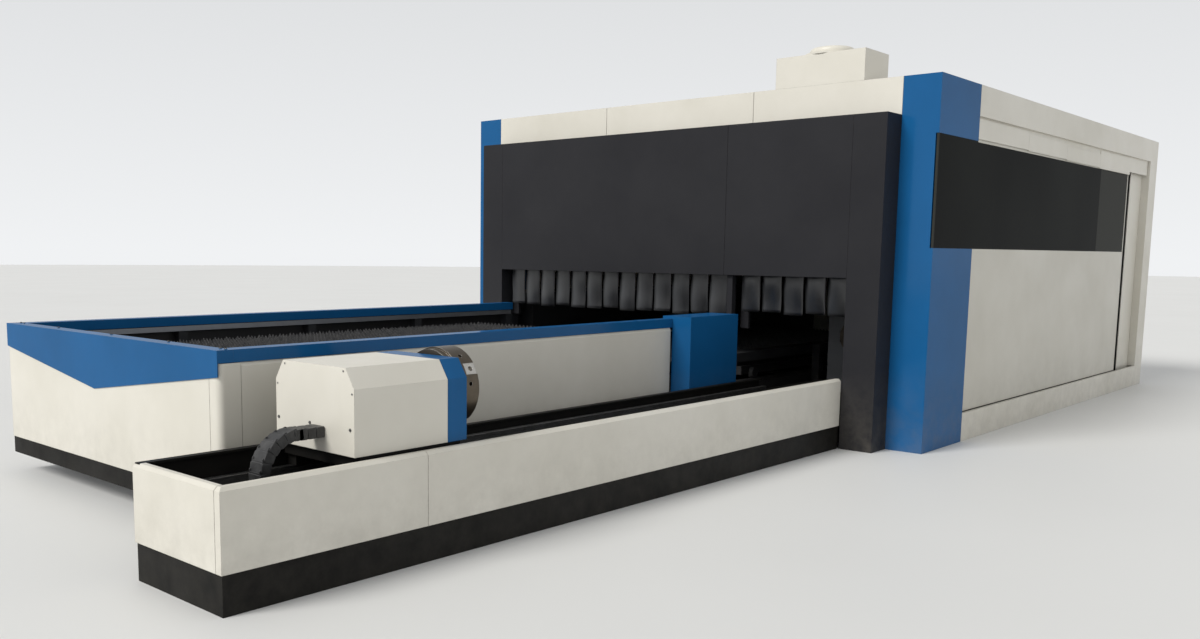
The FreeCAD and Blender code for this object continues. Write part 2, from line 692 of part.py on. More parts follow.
def tube_bed():
    """The tube feeding bed: trough frame, side sheets with a bevelled rim, and its end."""
    tall = "bed_top - bed_plinth"
    rim = [("0", "0"), ("bed_skin", "0"), ("bed_skin", f"{tall} - bed_skin"),
           ("bed_rim", f"{tall} - bed_skin"), ("bed_rim", tall), ("14", tall),
           ("0", f"{tall} - 14")]
    corner = box("bed_corner_block", ("-half_length", "-half_length + 40"),
                 ("bed_near", "bed_near + bed_rim"), ("bed_plinth", "bed_top"))
    bevelled = chamfer("bed_corner_bevel", corner, 14,
                       lambda edge: edge.BoundBox.ZMin > size("bed_top - 1")
                       and (edge.BoundBox.XMax < size("-half_length + 1")
                            or edge.BoundBox.YMax < size("bed_near + 1")))
    hollow = box("bed_corner_hollow", ("-half_length + bed_skin", "-half_length + 41"),
                 ("bed_near + bed_skin", "bed_near + bed_rim + 1"),
                 ("bed_plinth - 1", "bed_top - bed_skin"))
    tail = extruded("bed_sheet_tail", "YZ_Plane", rim, "bed_seam + half_length - 42",
                    ("-half_length + 40", "bed_near", "bed_plinth"))
    near = [fuse("bed_sheet_short", cut("bed_corner", bevelled, hollow), tail),
            extruded("bed_sheet_long", "YZ_Plane", rim, "gate_front - bed_seam",
                     ("bed_seam", "bed_near", "bed_plinth"))]
    node(group("bed_near_sheets", *near), "bed_near_panels")
    far = []
    for name, start, end, top in (
            ("high", "-half_length + bed_skin", "bed_step - 2", "bed_top"),
            ("low", "bed_step", "gate_front", "bed_far_low_top")):
        rise = f"{top} - bed_plinth"
        fold = [("bed_rim", "0"), ("bed_rim", rise), ("0", rise), ("0", f"{rise} - bed_skin"),
                ("bed_rim - bed_skin", f"{rise} - bed_skin"), ("bed_rim - bed_skin", "0")]
        far.append(extruded(f"bed_sheet_{name}", "YZ_Plane", fold, f"{end} - {start}".replace(
            "- -half_length + bed_skin", "+ half_length - bed_skin"),
            (start, "bed_far - bed_rim", "bed_plinth")))
    node(group("bed_far_sheets", *far), "bed_far_panels")
    face = box("bed_end_face", ("-half_length", "-half_length + bed_skin"),
               ("bed_near + bed_rim + 2", "bed_far"), ("bed_plinth", "bed_top"))
    lip = box("bed_end_lip", ("-half_length", "-half_length + bed_rim"),
              ("bed_near + bed_rim + 2", "bed_far - bed_rim"), ("bed_top - bed_skin", "bed_top"))
    bevel = 14
    node(chamfer("bed_end", fuse("bed_end_sheet", face, lip), bevel,
                 lambda edge: edge.BoundBox.XMax < size("-half_length + 1")
                 and edge.BoundBox.ZMin > size("bed_top - 1")), "bed_end_panel")
    width = "bed_far - bed_near - 48"
    beam = "bed_beam_width"
    trough = [("0", "0"), (width, "0"), (width, "bed_beam_top"), (f"{width} - {beam}",
              "bed_beam_top"), (f"{width} - {beam}", "bed_floor"), (beam, "bed_floor"),
              (beam, "bed_beam_top"), ("0", "bed_beam_top")]
    lifted = [(u, f"{v} - 30" if v != "0" else "0") for u, v in trough]
    node(extruded("trough", "YZ_Plane", lifted, "bed_inner_end - 6 + half_length - 24",
                  ("-half_length + 24", "bed_near + 24", "30")), "bed_frame")
    pads = []
    for index in range(6):
        x = f"-half_length + 120 + {index} * 940"
        for side, y in (("near", "bed_near + 40"), ("far", "bed_far - 140")):
            pads.append(box(f"bed_pad_{side}{index}", (x, f"{x} + 100"), (y, f"{y} + 100"),
                            ("0", "30")))
    return pads


def linear_rails():
    """Guide rails of the headstock on the tube bed and of the gantry on the machine bed."""
    rails = []
    for side, y in (("near", "bed_near + 42"), ("far", "bed_far - 72")):
        rails.append(box(f"head_rail_{side}", ("-half_length + 40", "gate_front - 10"),
                         (y, f"{y} + 30"), ("bed_beam_top", "bed_beam_top + 26")))
    for side, middle in (("near", "bed_rail_near"), ("far", "bed_rail_far")):
        rails.append(box(f"gantry_rail_{side}", ("machine_bed_start + 20", "machine_bed_end - 20"),
                         (f"{middle} - 18", f"{middle} + 18"),
                         ("bed_rail_top", "bed_rail_top + 26")))
    node(group("guides", *rails), "guide_rails")


def head_section():
    """The headstock's outline across the machine: a box with both top corners cut off."""
    wide = "2 * head_half_width"
    tall = "head_top - head_bottom"
    return [("0", "0"), (wide, "0"), (wide, f"{tall} - head_chamfer_z"),
            (f"{wide} - head_chamfer_y", tall), ("head_chamfer_y", tall),
            ("0", f"{tall} - head_chamfer_z")]


def inner_head_section():
    """The same outline moved inwards by the sheet's thickness, open at the bottom."""
    wide = "2 * head_half_width - 2 * head_skin"
    tall = "head_top - head_bottom - head_skin"
    return [("0", "0"), (wide, "0"), (wide, f"{tall} - head_chamfer_z"),
            (f"{wide} - head_chamfer_y", tall), ("head_chamfer_y", tall),
            ("0", f"{tall} - head_chamfer_z")]


def headstock():
    """The carriage behind the rear chuck: saddle, sheet cover, blue front band and spindle block."""
    near = "tube_axis_y - head_half_width"
    cover = extruded("cover_outer", "YZ_Plane", head_section(), "head_split - head_rear - 2",
                     ("head_rear", near, "head_bottom"))
    hollow = extruded("cover_inner", "YZ_Plane", inner_head_section(), "head_split - head_rear",
                      ("head_rear + head_skin", f"{near} + head_skin", "head_bottom - 0.01"))
    node(cut("cover", cover, hollow), "headstock_cover")
    band = extruded("band_outer", "YZ_Plane", head_section(), "head_front - head_split",
                    ("head_split", near, "head_bottom"))
    inside = extruded("band_inner", "YZ_Plane", inner_head_section(), "head_front - head_split",
                      ("head_split - head_skin", f"{near} + head_skin", "head_bottom - 0.01"))
    hole = cylinder("band_hole", "x", ("tube_axis_y", "tube_axis_z"), "head_split - 1",
                    "head_front + 1", "112")
    node(cut("band", band, inside, hole), "headstock_front_band")
    plate = box("saddle_plate", ("head_rear + 30", "head_front - 30"),
                ("tube_axis_y - head_half_width + 6", "tube_axis_y + head_half_width - 6"),
                ("396", "head_bottom"))
    blocks = []
    for side, y in (("near", "bed_near + 30"), ("far", "bed_far - 92")):
        for index, x in enumerate(("head_rear + 50", "head_front - 140")):
            blocks.append(box(f"saddle_block_{side}{index}", (x, f"{x} + 90"), (y, f"{y} + 54"),
                              ("bed_beam_top + 26.5", "396")))
    node(fuse("saddle", plate, *blocks), "headstock_saddle")
    body = cylinder("spindle_body", "x", ("tube_axis_y", "tube_axis_z"), "head_rear + 120",
                    "head_front - 20", "128")
    foot = box("spindle_foot", ("head_rear + 120", "head_front - 20"),
               ("tube_axis_y - 110", "tube_axis_y + 110"), ("head_bottom", "tube_axis_z"))
    bore = cylinder("spindle_bore", "x", ("tube_axis_y", "tube_axis_z"), "head_rear + 100",
                    "head_front", "100.05")
    node(cut("spindle_block", fuse("spindle_case", body, foot), bore), "spindle_housing")
    chain_loop()


def chain_loop():
    """The drag chain's visible bend: a short run from the cover, then half a turn downwards."""
    y = ("chain_y - chain_width / 2", "chain_y + chain_width / 2")
    centre_z = "chain_top - chain_outer"
    ring = cylinder("chain_ring", "y", ("chain_centre_x", centre_z), *y, "chain_outer")
    hole = cylinder("chain_hole", "y", ("chain_centre_x", centre_z), f"{y[0]} - 1", f"{y[1]} + 1",
                    "chain_outer - chain_height")
    half = box("chain_half", ("chain_centre_x", "chain_centre_x + 200"),
               (f"{y[0]} - 1", f"{y[1]} + 1"), (f"{centre_z} - 200", f"{centre_z} + 200"))
    run = box("chain_run", ("chain_centre_x", "head_rear"), y,
              ("chain_top - chain_height", "chain_top"))
    node(fuse("chain_bend", cut("chain_half_ring", ring, hole, half), run), "drag_chain_loop")
    floor_z = "bed_floor + 1"
    node(box("chain_floor_run", ("chain_centre_x", "-2450"), y,
             (floor_z, f"{floor_z} + chain_height")), "drag_chain_run")


def about_tube_axis(name, block, turn):
    """Turn a block made about the X axis and carry it to the tube's axis."""
    carried = DOC.addObject("Part::Compound", name)
    carried.Links = [block]
    carried.Placement = FreeCAD.Placement(Vector(), FreeCAD.Rotation(Vector(1, 0, 0), turn))
    place(carried, "0", "tube_axis_y", "tube_axis_z")
    return carried


def rear_chuck():
    """The rotating rear chuck with its spindle, and four jaws in radial slots."""
    rings = [("0", "412", "100"), ("412", "444", "104"), ("444", "474", "chuck_radius - 8"),
             ("474", "570", "chuck_radius")]
    blank = turned("chuck", rings, ("chuck_front - 570", "tube_axis_y", "tube_axis_z"),
                   bores=[("-1", "571", "chuck_bore")])
    slots = []
    for index in range(4):
        slot = box(f"slot_block{index}", ("chuck_front - jaw_depth", "chuck_front + 1"),
                   ("-jaw_width / 2", "jaw_width / 2"), ("chuck_bore - 14", "chuck_radius + 10"))
        slots.append(about_tube_axis(f"slot{index}", slot, 60 + 90 * index))
    rim_holes = []
    for index in range(8):
        hole = cylinder(f"rim_hole_bar{index}", "z", ("chuck_front - 48", "0"),
                        "chuck_radius - 20", "chuck_radius + 5", "9")
        rim_holes.append(about_tube_axis(f"rim_hole{index}", hole, 82 + 45 * index))
    node(cut("chuck_body", blank, *slots, *rim_holes), "rear_chuck_body")
    for index in range(4):
        base = box(f"jaw_base{index}", ("chuck_front - jaw_depth + 0.4", "chuck_front - 2"),
                   ("-jaw_width / 2 + 0.4", "jaw_width / 2 - 0.4"),
                   ("chuck_bore + 12", "chuck_radius - 2"))
        tip = box(f"jaw_tip{index}", ("chuck_front - 2", "chuck_front + 34"),
                  ("-jaw_width / 2 + 6", "jaw_width / 2 - 6"),
                  ("chuck_bore + 12", "chuck_radius - 40"))
        bolt = cylinder(f"jaw_hole{index}", "z", ("chuck_front - 30", "0"), "chuck_radius - 24",
                        "chuck_radius + 5", "11")
        jaw = cut(f"jaw{index}", fuse(f"jaw_blank{index}", base, tip), bolt)
        node(about_tube_axis(f"jaw_carried{index}", jaw, 60 + 90 * index),
             f"rear_chuck_jaw_{index + 1}")


def front_chuck():
    """The front chuck inside the cabin, whose housing stands on the floor."""
    x = ("front_chuck_rear", "front_chuck_split")
    block = box("front_block", x, ("tube_axis_y - 215", "tube_axis_y + 215"), ("0", "850"))
    bore = cylinder("front_bore", "x", ("tube_axis_y", "tube_axis_z"), "front_chuck_rear - 1",
                    "front_chuck_split + 1", "130.05")
    node(cut("front_case", block, bore), "front_chuck_housing")
    neck = "front_chuck_split - front_chuck_rear + 4"
    node(turned("front_ring", [("0", neck, "130"), (neck, f"{neck} + 70", "chuck_radius")],
                ("front_chuck_rear", "tube_axis_y", "tube_axis_z"),
                bores=[("-1", f"{neck} + 71", "chuck_bore")]), "front_chuck_ring")


def machine_bed():
    """The welded bed in the cabin: two tall beams, cross members and the pallet rails' stands."""
    run = ("machine_bed_start", "machine_bed_end")
    half = "bed_rail_width / 2"
    pieces = [box("beam_near", run, (f"bed_rail_near - {half}", f"bed_rail_near + {half}"),
                  ("0", "bed_rail_top")),
              box("beam_far", run, (f"bed_rail_far - {half}", f"bed_rail_far + {half}"),
                  ("0", "bed_rail_top"))]
    rail_near = "table_near + table_skin"
    rail_far = "table_far - table_skin - frame_tube"
    stand_top = "upper_slat_top - slat_height - frame_tube - 30"
    for index in range(5):
        x = f"700 + {index} * 800"
        pieces.append(box(f"bed_cross{index}", (x, f"{x} + 160"),
                          (f"bed_rail_near + {half}", f"bed_rail_far - {half}"), ("40", "180")))
        if index < 4:
            for side, y in (("near", rail_near), ("far", rail_far)):
                pieces.append(box(f"stand_{side}{index}", (f"{x} + 50", f"{x} + 110"),
                                  (y, f"{y} + frame_tube"), ("180", stand_top)))
    node(fuse("bed_weldment", *pieces), "machine_bed")


def gantry():
    """The gantry beam on its two end carriages, the cross carriage and the cutting head."""
    x = ("gantry_x", "gantry_x + gantry_depth")
    y_near, y_far = "bed_rail_near - 70", "bed_rail_far + 70"
    beam = box("beam_outer", x, (y_near, y_far), ("beam_bottom", "beam_top"))
    hollow = box("beam_hollow", ("gantry_x + 14", "gantry_x + gantry_depth - 14"),
                 (f"{y_near} - 1", f"{y_far} + 1"), ("beam_bottom + 14", "beam_top - 14"))
    ends = []
    for side, middle in (("near", "bed_rail_near"), ("far", "bed_rail_far")):
        ends.append(box(f"end_{side}", ("gantry_x - 60", "gantry_x + gantry_depth + 60"),
                        (f"{middle} - 60", f"{middle} + 60"),
                        ("bed_rail_top + 26.5", "beam_bottom")))
    node(group("ends", *ends), "gantry_end_carriages")
    front = "gantry_x"
    rails = [box(f"cross_rail{index}", (f"{front} - 20", front), (f"{y_near} + 30",
             f"{y_far} - 30"), (z, f"{z} + 26")) for index, z in enumerate(("1040", "1214"))]
    node(group("beam_and_guides", cut("beam", beam, hollow), *rails), "gantry_beam")
    node(box("cross_plate", (f"{front} - 56", f"{front} - 20.5"), ("head_y - 130", "head_y + 130"),
             ("1020", "1260")), "cross_carriage")
    node(box("slide_plate", (f"{front} - 96", f"{front} - 56.5"), ("head_y - 75", "head_y + 75"),
             ("960", "1400")), "head_slide")
    centre = (f"{front} - 146", "head_y")
    stack = [cylinder("head_barrel", "z", centre, "nozzle_tip + 90", "1290", "50"),
             cylinder("head_neck", "z", centre, "nozzle_tip + 30", "nozzle_tip + 90", "32")]
    node(fuse("head_stack", *stack), "cutting_head")
    tip = DOC.addObject("Part::Cone", "nozzle_cone")
    tip.setExpression("Height", "30")
    tip.Radius1 = 5
    tip.Radius2 = 20
    place(tip, centre[0], centre[1], "nozzle_tip")
    node(tip, "cutting_nozzle")


def check_and_write():
    """Refuse a failed object or an empty sub-part, then write each sub-part to its own file."""
    DOC.recompute()
    failed = [thing.Name for thing in DOC.Objects
              if "Invalid" in thing.State or "Error" in thing.State]
    if failed:
        raise RuntimeError(f"failed objects: {failed}")
    os.makedirs("parts", exist_ok=True)
    for part in NODES:
        shape = part.Shape
        if shape.isNull() or not shape.isValid() or not shape.Solids:
            raise RuntimeError(f"{part.Label} has no valid solid")
        shape.exportStep(f"parts/{part.Label}.step")
    print(f"{len(NODES)} sub-parts written")


fill_sheet()
cabin_skins()
side_portal()
service_door()
cabin_frame()
gate()
lift_doors()
roof_unit()
table_feet = table_frames()
table_skins()
drive_unit()
plinths()
pallet_rails()
pallet("a", "pallet_start", "0")
pallet("b", "pallet_start + pallet_travel", "level_pitch")
bed_pads = tube_bed()
node(group("all_feet", *table_feet, *bed_pads), "levelling_feet")
linear_rails()
headstock()
rear_chuck()
front_chuck()
machine_bed()
gantry()
check_and_write()
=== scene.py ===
"""Looks of a plate and tube laser cutting machine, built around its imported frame.

X runs along the machine to the rear of its cabin, Y across it with the tube bed at -Y, Z up.
Every new piece is a surface worked out from the frame's own boxes, in metres.
"""
import json
from math import cos, pi, radians, sin

import bpy
import numpy as np
from mathutils import Matrix, Vector


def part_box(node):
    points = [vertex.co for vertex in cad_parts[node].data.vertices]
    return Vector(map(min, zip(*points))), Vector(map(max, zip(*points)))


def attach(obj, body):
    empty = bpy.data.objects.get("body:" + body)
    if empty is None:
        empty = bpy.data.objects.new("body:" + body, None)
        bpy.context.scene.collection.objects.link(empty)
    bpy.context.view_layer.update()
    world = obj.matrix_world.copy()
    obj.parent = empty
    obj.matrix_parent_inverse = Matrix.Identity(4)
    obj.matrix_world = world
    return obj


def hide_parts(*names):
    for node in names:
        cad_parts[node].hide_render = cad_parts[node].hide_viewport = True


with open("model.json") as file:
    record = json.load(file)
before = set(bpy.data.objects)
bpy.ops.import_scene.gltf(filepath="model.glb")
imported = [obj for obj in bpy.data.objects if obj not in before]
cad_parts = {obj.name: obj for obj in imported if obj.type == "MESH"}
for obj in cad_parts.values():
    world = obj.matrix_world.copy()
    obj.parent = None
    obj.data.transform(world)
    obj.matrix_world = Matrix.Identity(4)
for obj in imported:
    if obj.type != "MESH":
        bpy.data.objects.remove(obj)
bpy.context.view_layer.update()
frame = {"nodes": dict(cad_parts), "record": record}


def low(node):
    """A node's lowest corner."""
    return np.array(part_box(node)[0], float)


def high(node):
    """A node's highest corner."""
    return np.array(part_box(node)[1], float)


# ---------------------------------------------------------------- node materials

class Shader:
    """A small helper that adds nodes to one material and links them."""

    def __init__(self, name):
        self.material = bpy.data.materials.new(name)
        self.material.use_nodes = True
        self.tree = self.material.node_tree
        self.principled = self.tree.nodes["Principled BSDF"]
        self.place = self.add("ShaderNodeTexCoord").outputs["Object"]

    def add(self, kind, **settings):
        """One node, with its plain settings."""
        made = self.tree.nodes.new(kind)
        for key, value in settings.items():
            setattr(made, key, value)
        return made

    def link(self, source, target):
        """Join an output to an input, or set the input to a plain value."""
        if isinstance(source, bpy.types.NodeSocket):
            self.tree.links.new(source, target)
        else:
            target.default_value = source

    def set(self, **values):
        """Plain values on the surface shader's own sockets."""
        for key, value in values.items():
            self.principled.inputs[key.replace("_", " ")].default_value = value

    def noise(self, scale, detail=3.0, roughness=0.55, stretch=None):
        """Soft noise over the object, stretched along an axis if asked."""
        texture = self.add("ShaderNodeTexNoise")
        texture.inputs["Scale"].default_value = scale
        texture.inputs["Detail"].default_value = detail
        texture.inputs["Roughness"].default_value = roughness
        where = self.place
        if stretch is not None:
            mapping = self.add("ShaderNodeMapping")
            mapping.inputs["Scale"].default_value = stretch
            self.link(self.place, mapping.inputs["Vector"])
            where = mapping.outputs["Vector"]
        self.link(where, texture.inputs["Vector"])
        return texture.outputs["Fac"]

    def ramp(self, value, start, end, first=0.0, last=1.0):
        """Map a value from start..end onto first..last, clamped."""
        remap = self.add("ShaderNodeMapRange")
        self.link(value, remap.inputs["Value"])
        for socket, number in zip(("From Min", "From Max", "To Min", "To Max"),
                                  (start, end, first, last)):
            remap.inputs[socket].default_value = number
        return remap.outputs["Result"]

    def mix(self, share, first, second):
        """Blend two colours."""
        blend = self.add("ShaderNodeMix", data_type="RGBA")
        self.link(share, blend.inputs["Factor"])
        self.link(first, blend.inputs["A"])
        self.link(second, blend.inputs["B"])
        return blend.outputs["Result"]

    def math(self, operation, first, second):
        """One sum of two values."""
        node = self.add("ShaderNodeMath", operation=operation)
        self.link(first, node.inputs[0])
        self.link(second, node.inputs[1])
        return node.outputs["Value"]

    def edges(self, radius=0.004):
        """About 1 along sharp outer edges and 0 on flats, from a rounded normal."""
        bevel = self.add("ShaderNodeBevel", samples=4)
        bevel.inputs["Radius"].default_value = radius
        geometry = self.add("ShaderNodeNewGeometry")
        dot = self.add("ShaderNodeVectorMath", operation="DOT_PRODUCT")
        self.link(bevel.outputs["Normal"], dot.inputs[0])
        self.link(geometry.outputs["True Normal"], dot.inputs[1])
        return bevel.outputs["Normal"], self.ramp(dot.outputs["Value"], 0.995, 0.86)

    def height(self, size=2):
        """The point's own coordinate along an axis; 2 is height over the floor."""
        split = self.add("ShaderNodeSeparateXYZ")
        self.link(self.place, split.inputs["Vector"])
        return split.outputs[size]

    def within(self, lowest, highest):
        """1 inside the box between two corners of the object's own space, and 0 outside."""
        split = self.add("ShaderNodeSeparateXYZ")
        self.link(self.place, split.inputs["Vector"])
        share = 1.0
        for axis in range(3):
            above = self.math("GREATER_THAN", split.outputs[axis], lowest[axis])
            below = self.math("LESS_THAN", split.outputs[axis], highest[axis])
            share = self.math("MULTIPLY", share, self.math("MULTIPLY", above, below))
        return share

    def bump(self, value, strength, distance, normal=None):
        """Relief from a value, over an optional first normal."""
        relief = self.add("ShaderNodeBump")
        relief.inputs["Strength"].default_value = strength
        relief.inputs["Distance"].default_value = distance
        self.link(value, relief.inputs["Height"])
        if normal is not None:
            self.link(normal, relief.inputs["Normal"])
        return relief.outputs["Normal"]

    def finish(self, colour=None, roughness=None, normal=None, metallic=None):
        """Join the worked out values to the surface shader."""
        for key, value in (("Base Color", colour), ("Roughness", roughness),
                           ("Normal", normal), ("Metallic", metallic)):
            if value is not None:
                self.link(value, self.principled.inputs[key])
        return self.material


def powder_coat(name, colour, shade, chip, roughness=0.42, dirt=0.35, peel=0.25, sheen=0.4,
                lacquer=0.0, shade_boxes=()):
    """Sprayed and baked paint: fine orange peel, cloudy tone, worn edges and floor dust.

    A share of lacquer makes it shine where it is seen along its surface.
    Inside each of the shade boxes the sheets are painted near-black, as painted shade for the dark
    interiors.
    """
    s = Shader(name)
    rounded, edge = s.edges(0.0035)
    cloud = s.noise(1.3, 4.0, 0.6)
    base = s.mix(s.ramp(cloud, 0.35, 0.7), colour, shade)
    smear = s.noise(5.0, 5.0, 0.7, (1.0, 1.0, 0.25))
    base = s.mix(s.ramp(smear, 0.6, 0.82, 0.0, 0.35), base, shade)
    wear_and_highlight = s.math("MULTIPLY", edge, s.ramp(s.noise(60.0, 4.0, 0.7), 0.45, 0.7))
    base = s.mix(s.math("MULTIPLY", wear_and_highlight, 0.75), base, chip)
    dust = s.ramp(s.height(), 0.5, 0.0, 0.0, dirt)
    dust = s.math("MULTIPLY", dust, s.ramp(s.noise(9.0, 6.0, 0.7), 0.3, 0.75))
    base = s.mix(dust, base, (0.16, 0.145, 0.12, 1.0))
    # painted shade: sheets inside these boxes turn near-black, standing in for the shade inside the
    # machine
    for lowest, highest in shade_boxes:
        base = s.mix(s.within(lowest, highest), base, (0.012, 0.012, 0.013, 1.0))
    gloss = s.ramp(s.noise(3.0, 5.0, 0.6), 0.3, 0.7, roughness - 0.07, roughness + 0.1)
    normal = s.bump(s.noise(900.0, 2.0, 0.5), peel, 0.00035, rounded)
    s.set(Specular_IOR_Level=sheen, Coat_Weight=lacquer, Coat_Roughness=0.14)
    return s.finish(base, gloss, normal)


def bare_steel(name, colour, dark, roughness=0.34, grain=(1.0, 1.0, 14.0), oil=0.5):
    """Machined steel: fine tool marks along one way, oil stains, and brighter edges."""
    s = Shader(name)
    rounded, edge = s.edges(0.002)
    stain = s.ramp(s.noise(14.0, 6.0, 0.7), 0.42, 0.72, 0.0, oil)
    base = s.mix(stain, colour, dark)
    base = s.mix(s.math("MULTIPLY", edge, 0.6), base, (0.72, 0.71, 0.69, 1.0))
    marks = s.noise(160.0, 3.0, 0.6, grain)
    gloss = s.ramp(marks, 0.3, 0.7, roughness - 0.08, roughness + 0.14)
    normal = s.bump(marks, 0.18, 0.0004, rounded)
    s.set(Metallic=0.9)
    return s.finish(base, gloss, normal)


def scorched_blades(name):
    """Slats: mill scale that is burnt blue-brown near the teeth, with grey spatter."""
    s = Shader(name)
    rounded, edge = s.edges(0.0015)
    scale = s.mix(s.ramp(s.noise(18.0, 6.0, 0.75), 0.35, 0.7), (0.034, 0.035, 0.038, 1.0),
                  (0.1, 0.098, 0.097, 1.0))
    spatter = s.ramp(s.noise(220.0, 3.0, 0.8), 0.62, 0.74, 0.0, 0.6)
    base = s.mix(spatter, scale, (0.14, 0.135, 0.13, 1.0))
    base = s.mix(s.math("MULTIPLY", edge, 0.45), base, (0.2, 0.2, 0.21, 1.0))
    normal = s.bump(s.noise(300.0, 4.0, 0.7), 0.5, 0.0008, rounded)
    s.set(Metallic=0.6, Specular_IOR_Level=0.3)
    return s.finish(base, s.ramp(s.noise(40.0), 0.3, 0.7, 0.45, 0.72), normal)


def smoked_pane(name, reflection_from, reflection_to):
    """Dark laser safety pane: glossy and faintly green, with a painted grey reflection over a
    stretch along X.
    """
    s = Shader(name)
    base = s.mix(s.ramp(s.noise(0.8, 2.0), 0.35, 0.65), (0.0035, 0.004, 0.0035, 1.0),
                 (0.008, 0.009, 0.008, 1.0))
    grey = s.within((reflection_from, -BEYOND, -BEYOND), (reflection_to, BEYOND, BEYOND))
    # painted reflection: a flat grey over the pane between the two X
    base = s.mix(grey, base, (0.034, 0.035, 0.031, 1.0))
    haze = s.ramp(s.noise(2.2, 5.0, 0.65, (0.4, 1.0, 1.6)), 0.45, 0.8, 0.03, 0.12)
    s.link(haze, s.principled.inputs["Coat Roughness"])
    s.set(Specular_IOR_Level=0.0, Coat_Weight=0.11)
    return s.finish(base, 0.3, s.bump(s.noise(1.1, 1.0), 0.03, 0.01))


def curtain_vinyl(name, start, top, highlight_strength):
    """Dark soft strips: satin, rippled, and each one with a painted highlight, lighter towards its
    far lower part where its bow faces the light.
    """
    s = Shader(name)
    dust = s.ramp(s.noise(7.0, 5.0, 0.7, (1.0, 1.0, 0.3)), 0.4, 0.8, 0.0, 0.6)
    base = s.mix(dust, (0.006, 0.0065, 0.008, 1.0), (0.014, 0.014, 0.015, 1.0))
    strip = s.math("FRACT", s.math("DIVIDE", s.math("SUBTRACT", s.height(1), start), FLAP_PITCH),
                   0.0)
    # painted highlight: each flap lighter towards its +Y side and lower down, as where its bow
    # catches the light
    wear_and_highlight = s.math("MULTIPLY", s.ramp(strip, 0.25, 0.9), s.ramp(s.height(), top - 0.05, top - 0.2))
    base = s.mix(s.math("MULTIPLY", wear_and_highlight, highlight_strength), base, (0.05, 0.052, 0.056, 1.0))
    normal = s.bump(s.noise(14.0, 3.0, 0.5, (1.0, 1.0, 0.2)), 0.3, 0.005)
    s.set(Specular_IOR_Level=0.6)
    return s.finish(base, s.ramp(dust, 0.0, 0.6, 0.3, 0.5), normal)


def moulded_nylon(name):
    """Drag chain links: black moulded plastic with a fine grain and greyed edges."""
    s = Shader(name)
    rounded, edge = s.edges(0.0015)
    base = s.mix(s.ramp(s.noise(26.0, 4.0), 0.4, 0.75), (0.02, 0.02, 0.021, 1.0),
                 (0.05, 0.05, 0.05, 1.0))
    base = s.mix(s.math("MULTIPLY", edge, 0.5), base, (0.13, 0.13, 0.13, 1.0))
    normal = s.bump(s.noise(700.0, 2.0), 0.3, 0.0003, rounded)
    return s.finish(base, s.ramp(s.noise(30.0), 0.3, 0.7, 0.4, 0.58), normal)


def turned_brass(name):
    """The nozzle: turned copper alloy with rings and heat tint."""
    s = Shader(name)
    base = s.mix(s.ramp(s.noise(60.0, 4.0), 0.35, 0.7), (0.55, 0.3, 0.12, 1.0),
                 (0.75, 0.52, 0.25, 1.0))
    normal = s.bump(s.noise(300.0, 2.0, 0.5, (1.0, 1.0, 8.0)), 0.2, 0.0002)
    s.set(Metallic=1.0)
    return s.finish(base, s.ramp(s.noise(80.0), 0.3, 0.7, 0.2, 0.36), normal)


def studio_floor(name):
    """Plain pale floor with a hardly visible cloudiness."""
    s = Shader(name)
    base = s.mix(s.noise(0.35, 3.0), (0.66, 0.66, 0.65, 1.0), (0.7, 0.7, 0.69, 1.0))
    return s.finish(base, s.ramp(s.noise(0.6, 3.0), 0.3, 0.7, 0.5, 0.6))


BEYOND = 9.0                     # farther than any part of the machine
# painted reflection: greyer on the corner pane's end and on the door pane's far part
CORNER_PANE_REFLECTION_END = -0.285         # the corner pane is greyer on its end, before this X
DOOR_PANE_REFLECTION_FROM = 3.121      # and the door's pane behind this one
FLAP_PITCH = 0.154
NARROW_TO_WIDE = 0.862           # from the narrow curtain's first flap to the wide one's
# painted shade: the insides of the cabin, the table and the tube bed's trough, where sheets are
# painted near-black
SHADED_INTERIOR_BOXES = [((-0.2795, -1.832, -1.0), (4.7795, 1.8795, 2.2345)),
                 ((-4.3145, -0.6635, -1.0), (-0.4, 1.4035, 0.7865)),
                 ((-4.7905, -1.4455, -1.0), (-0.4, -0.8, 0.4265))]
CREAM = powder_coat("cream_powder_coat", (0.66, 0.635, 0.57, 1.0), (0.59, 0.565, 0.495, 1.0),
                    (0.3, 0.28, 0.24, 1.0), 0.4, shade_boxes=SHADED_INTERIOR_BOXES)
# painted shade: the service door is a darker copy of the cabin cream, for the shade on it; its
# inside is painted near-black as shade too
SHADED_DOOR_CREAM = powder_coat("cream_coat_painted_door_shade", (0.55, 0.53, 0.47, 1.0),
                         (0.5, 0.48, 0.42, 1.0), (0.3, 0.28, 0.24, 1.0), 0.4,
                         shade_boxes=[((0.0, -1.8455, 0.0), (5.0, 0.0, 3.0))])
# painted shade: the blue section's inner faces are painted near-black
BLUE = powder_coat("blue_powder_coat", (0.009, 0.097, 0.26, 1.0), (0.007, 0.08, 0.215, 1.0),
                   (0.06, 0.14, 0.26, 1.0), 0.38, sheen=0.0, lacquer=0.35,
                   shade_boxes=[((-0.2795, -1.8795, -1.0), (0.4, 1.8795, 2.3))])
CHARCOAL = powder_coat("charcoal_powder_coat", (0.016, 0.016, 0.019, 1.0),
                       (0.022, 0.022, 0.025, 1.0), (0.06, 0.06, 0.06, 1.0), 0.5, sheen=0.16)
FRAME_GREY = powder_coat("grey_frame_paint", (0.03, 0.031, 0.034, 1.0),
                         (0.02, 0.021, 0.023, 1.0), (0.1, 0.1, 0.1, 1.0), 0.52, sheen=0.2)
BLACK = powder_coat("black_frame_paint", (0.0035, 0.0034, 0.003, 1.0),
                    (0.0065, 0.006, 0.0055, 1.0), (0.04, 0.036, 0.03, 1.0), 0.55, dirt=0.12,
                    sheen=0.14)
